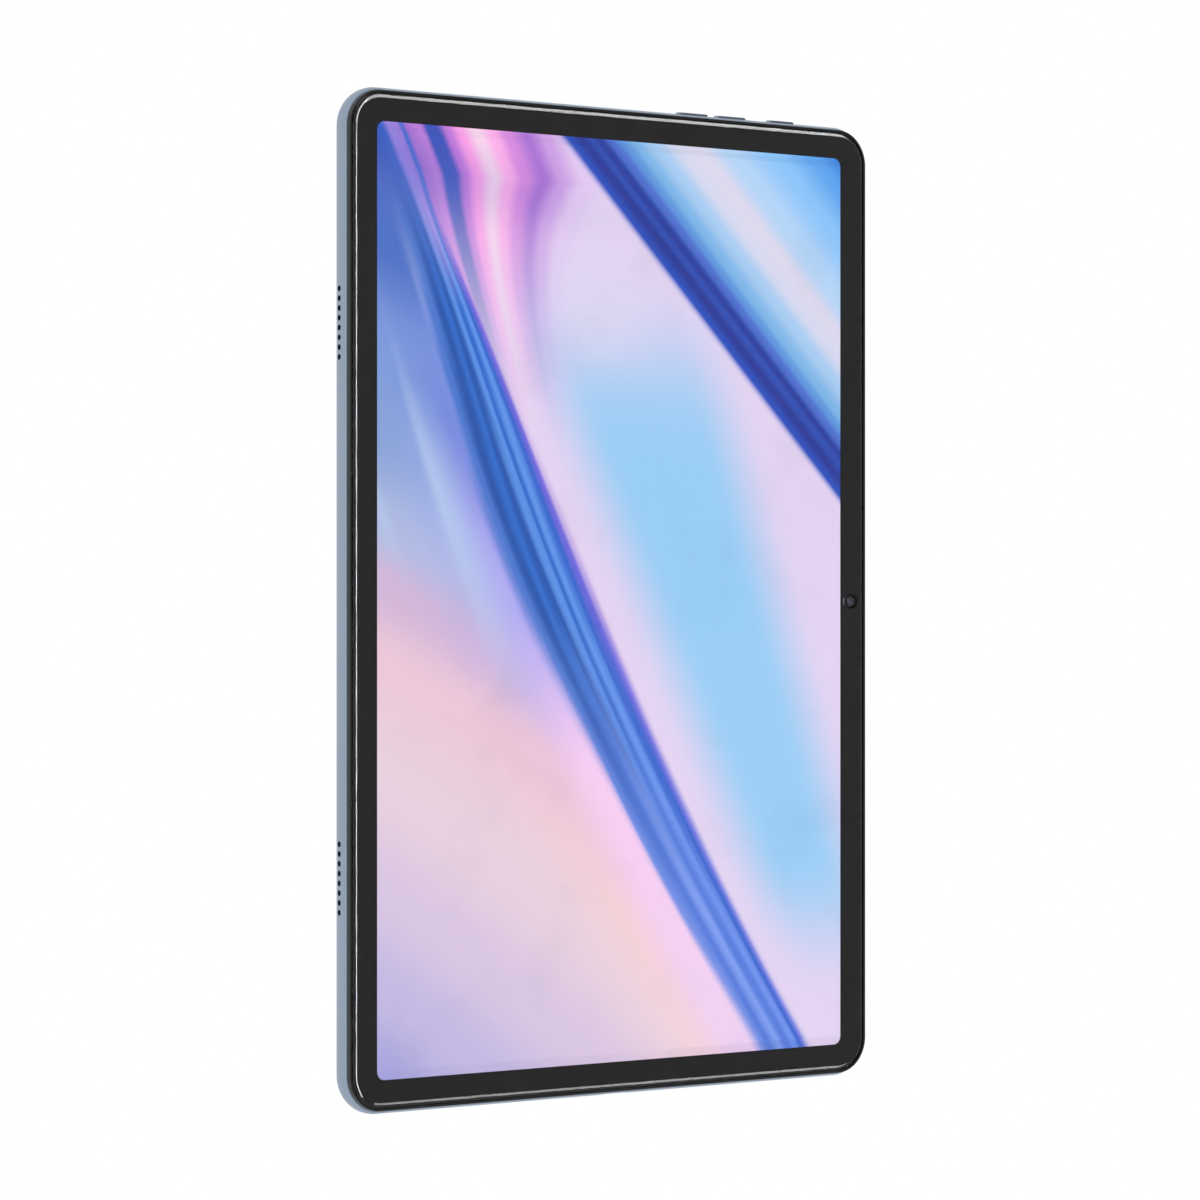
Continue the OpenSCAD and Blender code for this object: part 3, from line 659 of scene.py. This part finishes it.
MATERIALS = {
    "anodised_metal": BODY_METAL,
    "key_metal": SHADED_KEY_METAL,
    "island_metal": ISLAND_METAL,
    "bezel_plastic": BEZEL,
    "cover_glass": GLASS,
    "border_ink": INK,
    "display_cell": screen_material(),
    "clear_adhesive": varied("clear_adhesive", "101214", "16181A", 0.3, Alpha=0.02,
                             Specular_IOR_Level=0.0).material,
    "black_tape": foam("black_tape", "141415", "1C1C1D"),
    "diffuser_film": varied("diffuser_film", "E6E8EC", "DDE0E6", 0.45, relief=2e-6).material,
    "light_guide_plastic": dotted_guide(),
    "reflector_film": varied("reflector_film", "EDEDF0", "E2E2E6", 0.3, relief=1e-6).material,
    "tray_metal": brushed("tray_metal", "C2C4C8", "B5B7BB", 0.35),
    "led_package": varied("led_package", "E8D25A", "DFC64A", 0.3, Coat_Weight=0.6).material,
    "flex_polyimide": flex_film(),
    "plate_metal": brushed("plate_metal", "A3A5A9", "989A9E", 0.38, along=0, wear_and_highlight="C4C6C9"),
    "camera_black": CAMERA_BLACK,
    "black_plastic": BLACK_PLASTIC,
    "bare_steel": brushed("bare_steel", "B4B5B8", "A6A7AA", 0.32, wear_and_highlight="D0D1D3"),
    "circuit_board": board(),
    "chip_plastic": varied("chip_plastic", "1D1D1F", "262628", 0.6, grain=0.08 * MM, relief=8e-6).material,
    "gilt_metal": GILT,
    "graphite": varied("graphite", "222326", "2E3034", 0.42, 0.3, blotch=3 * MM, relief=6e-6).material,
    "battery_foil": foil(),
    "white_tape": varied("white_tape", "E4E3DE", "D8D7D0", 0.6, relief=6e-6).material,
    "port_metal": PORT_METAL,
    "gasket_rubber": foam("gasket_rubber", "0E0E0E", "151515"),
    "speaker_mesh": woven_mesh(),
    "lens_glass": LENS_GLASS,
    "flash_diffuser": FLASH_DIFFUSER,
    "antenna_copper": brushed("antenna_copper", "C77F4E", "B87040", 0.35, wear_and_highlight="E0A880"),
    "cable_jacket": varied("cable_jacket", "131314", "1C1C1E", 0.45, relief=5e-6).material,
}

# ---- Metal shell ----


def body_outline(steps=24, splits=(1, 1)):
    return rounded(body_w, body_h, CORNER_R, steps, splits)


def shell_profile():
    """From the rim, over the chamfer and round the outside, to the flat back."""
    start = math.degrees(math.asin((CHAMFER_D - FRONT_ARC_D) / FRONT_ARC_R))
    return [
        (RIM_INSET, RIM_D),
        *arc((FRONT_ARC_R, FRONT_ARC_D), FRONT_ARC_R, start, 0.0, 10),
        *arc((BACK_ARC_R, BACK_ARC_D), BACK_ARC_R, 0.0, 90.0, 14),
        (6 * MM, body_t),
    ]


def opening_profile(face, depth, chamfer=0.06 * MM):
    """A straight hole inwards from a face, with a small chamfer. The sign of depth points inwards."""
    sign = math.copysign(1.0, depth)
    return [(-2 * chamfer, face - sign * chamfer), (0, face + sign * chamfer), (0, face + depth)]


def sound_hole_cutters():
    """One mesh of bars through the -X side, a row for each loudspeaker."""
    bm = bmesh.new()
    radius = HOLE_DIA / 2
    for node in ("upper_speaker", "lower_speaker"):
        for i in range(HOLE_COUNT):
            z = centre(node).z + (i - (HOLE_COUNT - 1) / 2) * HOLE_PITCH
            skin(bm, circle(radius, 8), radius, opening_profile(-half_w, 2 * MM), sideways(side_y, z))
    return mesh_object("sound_holes", bm)


def key_size(key):
    """Length and width of a key's cap, without the flange that holds it in."""
    return extent(key).x - 1.0 * MM, extent(key).y - 0.3 * MM


def round_slot(bm, length, width, profile, place, steps=12):
    """A slot with round ends, larger than what it holds by the gap round it."""
    radius = width / 2 + SLOT_GAP
    skin(bm, rounded(length + 2 * SLOT_GAP, width + 2 * SLOT_GAP, radius, steps), radius, profile, place)


def slot_cutters():
    """Slots for the keys, the tray and the port, and the microphone holes."""
    bm = bmesh.new()
    for key in KEYS:
        round_slot(bm, *key_size(key), opening_profile(body_h, -2.5 * MM), upright(centre(key).x, side_y))
    tray, at = extent("tray_face"), centre("tray_face")
    round_slot(bm, tray.z, tray.y, opening_profile(half_w, -3 * MM), sideways(at.y, at.z))
    port = extent("port_shell")
    round_slot(bm, port.x, port.y, opening_profile(0.0, STEP_INSET, 0.12 * MM), upright(0, side_y), 16)
    low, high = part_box("microphones")
    for x, face, depth in ((low.x + 1.8 * MM, body_h, -2.5 * MM), (high.x - 1.8 * MM, 0.0, 2.5 * MM)):
        skin(bm, circle(MIC_DIA / 2, 8), MIC_DIA / 2, opening_profile(face, depth, 0.04 * MM),
             upright(x, front_y + MIC_D))
    return mesh_object("slots", bm)


def island_outline(margin, steps=16):
    flange = 1.0 * MM
    size = extent("camera_island")
    width, length = size.x - 2 * flange + 2 * margin, size.z - 2 * flange + 2 * margin
    return rounded(width, length, width / 2, steps), width / 2


def bosses():
    """Screw posts that stand on the inside of the back."""
    bm = bmesh.new()
    board_d = depth_of(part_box("mainboard")[1].y)
    for x, below_top in ((-50, 13), (52, 13), (-50, 45), (44, 62)):
        post(bm, x * MM, body_h - below_top * MM, board_d)
    for x in (-27, 27):
        post(bm, x * MM, 19 * MM, board_d)
    tab_d = 5.0 * MM        # the key bracket's screw tabs
    for x in (13.6, 67.4):
        post(bm, x * MM, body_h - 5.5 * MM, tab_d)
    return mesh_object("bosses", bm)


def post(bm, x, z, depth):
    """One post, with a screw hole from its end at that depth."""
    radius, wall = 2 * MM, 1.25 * MM
    profile = [(0, INNER_BACK_D + 0.2 * MM), (0, depth + 0.1 * MM), (0.1 * MM, depth), (wall, depth),
               (wall, INNER_BACK_D - 0.3 * MM)]
    skin(bm, circle(radius, 8), radius, profile, along_depth(x, z))


def rear_cover():
    inside = [(6 * MM, INNER_BACK_D), (STEP_INSET, INNER_BACK_D), (STEP_INSET, STEP_D), (WALL_SIDE, STEP_D),
              (WALL_SIDE, RIM_D)]
    cover = loft("metal_shell", body_outline(splits=(16, 24)), CORNER_R, inside + shell_profile(),
                 along_depth(z=mid_z))
    outline, reach = island_outline(0.1 * MM)
    at = centre("camera_island")
    through = [(0, INNER_BACK_D - MM), (0, body_t + MM)]
    pocket = loft("pocket", outline, reach, through, along_depth(at.x, at.z))
    cut(cover, sound_hole_cutters(), slot_cutters(), pocket)
    cut(cover, bosses(), operation="UNION")
    return piece(cover, "housing", BODY_METAL, "anodised_metal", "rear_cover")


rear_cover()

# ---- Frame and glass ----


def bezel_frame():
    bead_r = (BEAD_INSET[1] - BEAD_INSET[0]) / 2
    bead = ((BEAD_INSET[0] + BEAD_INSET[1]) / 2, BEAD_TOP + bead_r)
    ledge_inset = 4 * MM
    profile = [(ledge_inset, LEDGE_D), (BEAD_INSET[1], LEDGE_D), *arc(bead, bead_r, -180.0, 0.0, 12),
               (BEAD_INSET[0], RIM_D), (SKIRT_INSET[0], RIM_D), (SKIRT_INSET[0], SKIRT_D),
               (SKIRT_INSET[1], SKIRT_D), (SKIRT_INSET[1], RIM_D), (ledge_inset, RIM_D)]
    ring = loft("bezel_ring", body_outline(), CORNER_R, profile, along_depth(z=mid_z))
    cell_low, cell_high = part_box("lcd_cell")
    gap = 0.2 * MM
    width, height = cell_high.x - cell_low.x + 2 * gap, cell_high.z - cell_low.z + 2 * gap
    span = [(0, -MM), (0, 3 * MM)]
    opening = loft("opening", rounded(width, height, 0.3 * MM, 4), 0.3 * MM, span,
                   along_depth(z=(cell_low.z + cell_high.z) / 2))
    camera, eye_r = centre("front_camera"), 2.1 * MM
    eye = loft("eye", circle(eye_r), eye_r, span, along_depth(camera.x, camera.z))
    cut(ring, opening, eye)
    return piece(ring, "housing", BEZEL, "bezel_plastic", "bezel_frame")


def cover_glass():
    run = GLASS_CURVE - GLASS_INSET
    radius = (run ** 2 + GLASS_EDGE_D ** 2) / (2 * GLASS_EDGE_D)
    turn = math.degrees(math.asin(run / radius))
    flat_inset = 5 * MM
    profile = [(flat_inset, 0.0), *arc((GLASS_CURVE, radius), radius, -90.0, turn - 90.0, 12),
               (GLASS_INSET, GLASS_T + BOND), (flat_inset, GLASS_T + BOND)]
    glass = loft("front_glass", body_outline(steps=28), CORNER_R, profile, along_depth(z=mid_z))
    return piece(glass, "housing", GLASS, "cover_glass", "cover_glass")


bezel_frame()
FRONT_GLASS = cover_glass()

# ---- Front camera ----


def lens(name, body, x, z, radius, top, bulge, *nodes):
    """A coated glass dome. A negative bulge faces the front, and a positive one the back."""
    steps, thickness = 8, math.copysign(0.25 * MM, bulge)
    profile = [(0.02 * MM, top - thickness), (0.0, top - bulge)]
    for i in range(1, steps + 1):
        inset = radius * i / steps
        profile.append((inset, top - bulge * ((radius - inset) / radius) ** 2))
    dome = loft(name, circle(radius, 12), radius, profile, along_depth(x, z))
    return piece(dome, body, LENS_GLASS, "lens_glass", *nodes)


def front_camera():
    low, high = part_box("front_camera")
    at = centre("front_camera")
    radius, mouth, throat = 1.6 * MM, 1.2 * MM, 0.65 * MM
    front, shoulder, back = depth_of(low.y), 3.4 * MM, depth_of(high.y)
    profile = [(0.3 * MM, back), (0.0, shoulder), (0.0, front + 0.08 * MM), (0.08 * MM, front),
               (radius - mouth, front), (radius - throat - 0.15 * MM, front + 0.22 * MM),
               (radius - throat, front + 0.24 * MM), (radius - throat, front + 0.6 * MM)]
    barrel = loft("front_camera_barrel", circle(radius), radius, profile, along_depth(at.x, at.z))
    size = high.x - low.x
    box = loft("front_camera_body", rounded(size, size, 0.5 * MM, 4), 0.5 * MM,
               [(0.15 * MM, shoulder), (0.0, shoulder + 0.15 * MM), (0.0, back)], along_depth(at.x, at.z))
    cut(box, barrel, operation="UNION")
    piece(box, "housing", CAMERA_BLACK, "camera_black", "front_camera")
    lens("front_camera_lens", "housing", at.x, at.z, throat, front + 0.3 * MM, -0.12 * MM)
    outer, top = 2.05 * MM, GLASS_T + 0.02 * MM
    width = outer - radius - 0.02 * MM
    gasket = loft("front_camera_gasket", circle(outer), outer,
                  [(0, top), (0, top + 0.5 * MM), (width, top + 0.5 * MM), (width, top)],
                  along_depth(at.x, at.z), closed=True)
    piece(gasket, "housing", VELVET, "gasket_rubber")


# ---- Keys, card tray and port ----


def rounded_end(edge, end):
    """Profile points that round the end of a prism: edge is their radius and end is the height."""
    turns = [math.pi / 12 * i for i in range(7)]
    return [(edge - edge * math.cos(turn), end - edge + edge * math.sin(turn)) for turn in turns]


def key_cap(key, body):
    low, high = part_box(key)
    length, width = key_size(key)
    flange_low, flange_high = low.z, body_h - WALL_SIDE - 0.1 * MM
    at = upright(centre(key).x, side_y)
    profile = [(0, flange_low + 0.2 * MM), *rounded_end(0.22 * MM, high.z)]
    cap = loft(key + "_cap", rounded(length, width, width / 2), width / 2, profile, at)
    flange_w = extent(key).y
    flange = loft("flange", rounded(extent(key).x, flange_w, flange_w / 2), flange_w / 2,
                  [(0.1 * MM, flange_low), (0, flange_low + 0.1 * MM), (0, flange_high)], at)
    cut(cap, flange, operation="UNION")
    return piece(cap, body, SHADED_KEY_METAL, "key_metal", key)


def tray_face():
    low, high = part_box("tray_face")
    length, width = high.z - low.z, high.y - low.y
    at = centre("tray_face")
    prism = loft("tray_front", rounded(length, width, width / 2), width / 2, [(0, low.x), (0, half_w + MM)],
                 sideways(at.y, at.z))
    blank = loft("shell_blank", body_outline(), CORNER_R, [(3 * MM, RIM_D), *shell_profile()],
                 along_depth(z=mid_z))
    cut(prism, blank, operation="INTERSECT")
    hole = 0.45 * MM
    eject = loft("eject", circle(hole, 8), hole, opening_profile(half_w, -4 * MM, 0.05 * MM),
                 sideways(at.y, at.z - 6.3 * MM))
    cut(prism, eject)
    return piece(prism, "card_tray", BODY_METAL, "anodised_metal", "tray_face")


def port():
    low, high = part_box("port_shell")
    width = extent("port_shell").y
    wall, lip, floor = 0.3 * MM, 0.08 * MM, high.z - 0.6 * MM
    profile = [(0, high.z), (0, low.z + lip), (lip, low.z), (wall - lip, low.z), (wall, low.z + lip),
               (wall, floor)]
    outline = rounded(extent("port_shell").x, width, width / 2, 20)
    piece(loft("port_can", outline, width / 2, profile, upright(0, side_y)),
          "housing", PORT_METAL, "port_metal", "port_shell")
    low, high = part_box("port_tongue")
    size = high - low
    tongue = loft("port_tongue_board", rounded(size.x, size.y, 0.2 * MM, 5), 0.2 * MM,
                  [(0.15 * MM, low.z), (0, low.z + 0.2 * MM), (0, high.z)], upright(0, side_y))
    piece(tongue, "housing", BLACK_PLASTIC, "black_plastic", "port_tongue")
    bm = bmesh.new()
    contacts, pitch = 12, 0.5 * MM
    pad = Matrix.Diagonal((0.24 * MM, 0.04 * MM, 2.6 * MM, 1.0))
    for side in (-1, 1):
        for i in range(contacts):
            x = (i - (contacts - 1) / 2) * pitch
            at = Matrix.Translation((x, side_y + side * size.y / 2, low.z + 1.9 * MM))
            bmesh.ops.create_cube(bm, matrix=at @ pad)
    piece(mesh_object("port_contacts", bm), "housing", GILT, "gilt_metal")


# ---- Rear camera ----


def camera_island():
    at = centre("camera_island")
    low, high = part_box("camera_island")
    top, chamfer = depth_of(high.y), 0.06 * MM
    outline, reach = island_outline(0.0, 24)
    place = along_depth(at.x, at.z)
    profile = [(0, INNER_BACK_D - 0.15 * MM), *rounded_end(0.35 * MM, top)]
    island = loft("camera_island_cap", outline, reach, profile, place)
    wide, wide_reach = island_outline(1.0 * MM, 24)
    flange = loft("flange", wide, wide_reach, [(0, depth_of(low.y)), (0, INNER_BACK_D)], place)
    glass, flash = centre("rear_camera_glass"), centre("flash_lens")
    window, recess, pocket = 4.0 * MM, extent("rear_camera_glass").x / 2 + 0.05 * MM, 2.05 * MM
    seat = depth_of(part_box("rear_camera_glass")[0].y)
    mouth = [(0, top - chamfer), (-2 * chamfer, top + chamfer)]
    bore = loft("bore", circle(recess, 16), recess,
                [(recess - window, STEP_D), (recess - window, seat), (0, seat), *mouth],
                along_depth(glass.x, glass.z))
    eye = loft("eye", circle(pocket, 12), pocket, [(0, STEP_D), *mouth], along_depth(flash.x, flash.z))
    cut(island, flange, operation="UNION")
    cut(island, bore, eye)
    return piece(island, "housing", ISLAND_METAL, "island_metal", "camera_island")


def rear_camera():
    low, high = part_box("rear_camera")
    at = centre("rear_camera")
    side, barrel_r, mouth, throat = high.x - low.x, 3.8 * MM, 3.3 * MM, 1.9 * MM
    front, shoulder = depth_of(high.y), 6.1 * MM
    place = along_depth(at.x, at.z)
    box = loft("rear_camera_body", rounded(side, side, 0.6 * MM, 5), 0.6 * MM,
               [(0, depth_of(low.y)), (0, shoulder - 0.2 * MM), (0.2 * MM, shoulder)], place)
    steps = [(0, shoulder - 0.3 * MM), (0, front - 0.1 * MM), (0.1 * MM, front), (barrel_r - mouth, front)]
    baffles = 4
    for i in range(baffles):
        inset = barrel_r - mouth + (mouth - throat) * (i + 1) / baffles
        depth = front - 0.22 * MM * (i + 1)
        steps += [(inset - (mouth - throat) / baffles, depth), (inset, depth)]
    steps.append((barrel_r - throat, front - 1.3 * MM))
    barrel = loft("barrel", circle(barrel_r, 16), barrel_r, steps, place)
    cut(box, barrel, operation="UNION")
    piece(box, "housing", CAMERA_BLACK, "camera_black", "rear_camera")
    lens("rear_camera_lens", "housing", at.x, at.z, throat, front - 0.75 * MM, 0.35 * MM)


def rear_window():
    low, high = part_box("rear_camera_glass")
    at, radius, edge = centre("rear_camera_glass"), extent("rear_camera_glass").x / 2, 0.12 * MM
    inner, outer = depth_of(low.y), depth_of(high.y)
    window = loft("rear_camera_window", circle(radius, 20), radius,
                  [(0, inner), (0, outer - edge), (edge, outer)], along_depth(at.x, at.z))
    piece(window, "housing", WINDOW_GLASS, "lens_glass", "rear_camera_glass")
    ring = 2.2 * MM
    mask = loft("rear_camera_mask", circle(4.0 * MM - 0.05 * MM, 20), 3.95 * MM,
                [(0, inner - 0.08 * MM), (0, inner - 0.02 * MM), (ring - 0.3 * MM, inner - 0.02 * MM),
                 (ring - 0.2 * MM, inner - 0.08 * MM)], along_depth(at.x, at.z), closed=True)
    piece(mask, "housing", INK, "border_ink")


def flash_lens():
    low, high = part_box("flash_lens")
    at, radius = centre("flash_lens"), extent("flash_lens").x / 2
    inner, outer, rings = depth_of(low.y), depth_of(high.y), 5
    profile = [(0, inner), (0, outer - 0.1 * MM), (0.1 * MM, outer)]
    pitch = (radius - 0.7 * MM) / rings
    for i in range(rings):
        inset = 0.3 * MM + i * pitch
        profile += [(inset, outer), (inset + 0.02 * MM, outer - 0.12 * MM)]
    profile.append((0.3 * MM + rings * pitch, outer - 0.02 * MM))
    piece(loft("flash_window", circle(radius), radius, profile, along_depth(at.x, at.z)),
          "housing", FLASH_DIFFUSER, "flash_diffuser", "flash_lens")


front_camera()
for key, moving_body in KEYS.items():
    key_cap(key, moving_body)
tray_face()
port()
camera_island()
rear_camera()
rear_window()
flash_lens()

# ---- Stage ----

TENT_LIGHT, CARD_LIGHT = 1.0, 0.42
CARD_TOWARDS = (0.62, -0.78, 0.0)


def softbox(name, place, width, height, strength, *receivers):
    """A soft light that faces the tablet's middle and falls on the receivers alone.

    Its strength is its brightness, whatever its size.
    """
    data = bpy.data.lights.new(name, "AREA")
    data.shape, data.size, data.size_y = "RECTANGLE", width, height
    data.energy = strength * 4 * width * height
    light = bpy.data.objects.new(name, data)
    light.location = place
    light.rotation_euler = (Vector(place) - Vector((0, 0, mid_z))).to_track_quat("Z", "Y").to_euler()
    light.visible_camera = False
    bpy.context.scene.collection.objects.link(light)
    group = bpy.data.collections.new(name)
    for receiver in receivers:
        group.objects.link(receiver)
    light.light_linking.receiver_collection = group


def seen_white(tree, shader):
    """Shows pure white to the camera and the given shader to every other ray, as a lit backdrop does."""
    path = tree.nodes.new("ShaderNodeLightPath")
    white = tree.nodes.new("ShaderNodeBackground" if shader.type == "BACKGROUND" else "ShaderNodeEmission")
    white.inputs["Color"].default_value = (1, 1, 1, 1)
    blend = tree.nodes.new("ShaderNodeMixShader")
    ends = (path.outputs["Is Camera Ray"], shader.outputs[0], white.outputs[0])
    for socket, value in zip(blend.inputs, ends):
        connect(tree, socket, value)
    return blend.outputs[0]


def make_floor():
    bm = bmesh.new()
    bmesh.ops.create_grid(bm, x_segments=1, y_segments=1, size=20.0)
    floor = mesh_object("floor", bm)
    paint = Paint("floor", "E6E6E6", 0.9)
    floor.data.materials.append(paint.material)
    output = paint.tree.nodes["Material Output"]
    connect(paint.tree, output.inputs["Surface"], seen_white(paint.tree, paint.shader))
    floor.visible_glossy = floor.visible_shadow = False


def make_tent():
    """A white light tent, with a darker card in front and to the right that keeps the glass clear."""
    world = bpy.data.worlds.new("studio")
    bpy.context.scene.world = world
    world.use_nodes = True
    tree = world.node_tree
    background = tree.nodes["Background"]
    background.inputs["Color"].default_value = (1, 1, 1, 1)
    place = tree.nodes.new("ShaderNodeTexCoord").outputs["Generated"]
    dot = tree.nodes.new("ShaderNodeVectorMath")
    dot.operation = "DOT_PRODUCT"
    connect(tree, dot.inputs[0], place)
    dot.inputs[1].default_value = CARD_TOWARDS
    card = Value(tree, dot.outputs["Value"]).over(0.2, 0.75)
    connect(tree, background.inputs["Strength"], card * (CARD_LIGHT - TENT_LIGHT) + TENT_LIGHT)
    connect(tree, tree.nodes["World Output"].inputs["Surface"], seen_white(tree, background))


make_floor()
make_tent()
softbox("front_strip", (0.48, -2.35, 0.3), 0.42, 3.0, 18.0, FRONT_GLASS)
softbox("high_right", (1.35, -1.75, 1.85), 1.9, 1.4, 7.0, FRONT_GLASS)
softbox("low_right", (1.3, -1.6, -0.95), 0.8, 0.8, 5.0, FRONT_GLASS)
bpy.context.scene.view_settings.view_transform = "Standard"

# ---- Carried-over CAD nodes ----

for subpart in frame["record"]["subparts"]:
    data = frame["nodes"][subpart["node"]].data
    data.materials.clear()
    data.materials.append(MATERIALS[subpart["material_slot"]])
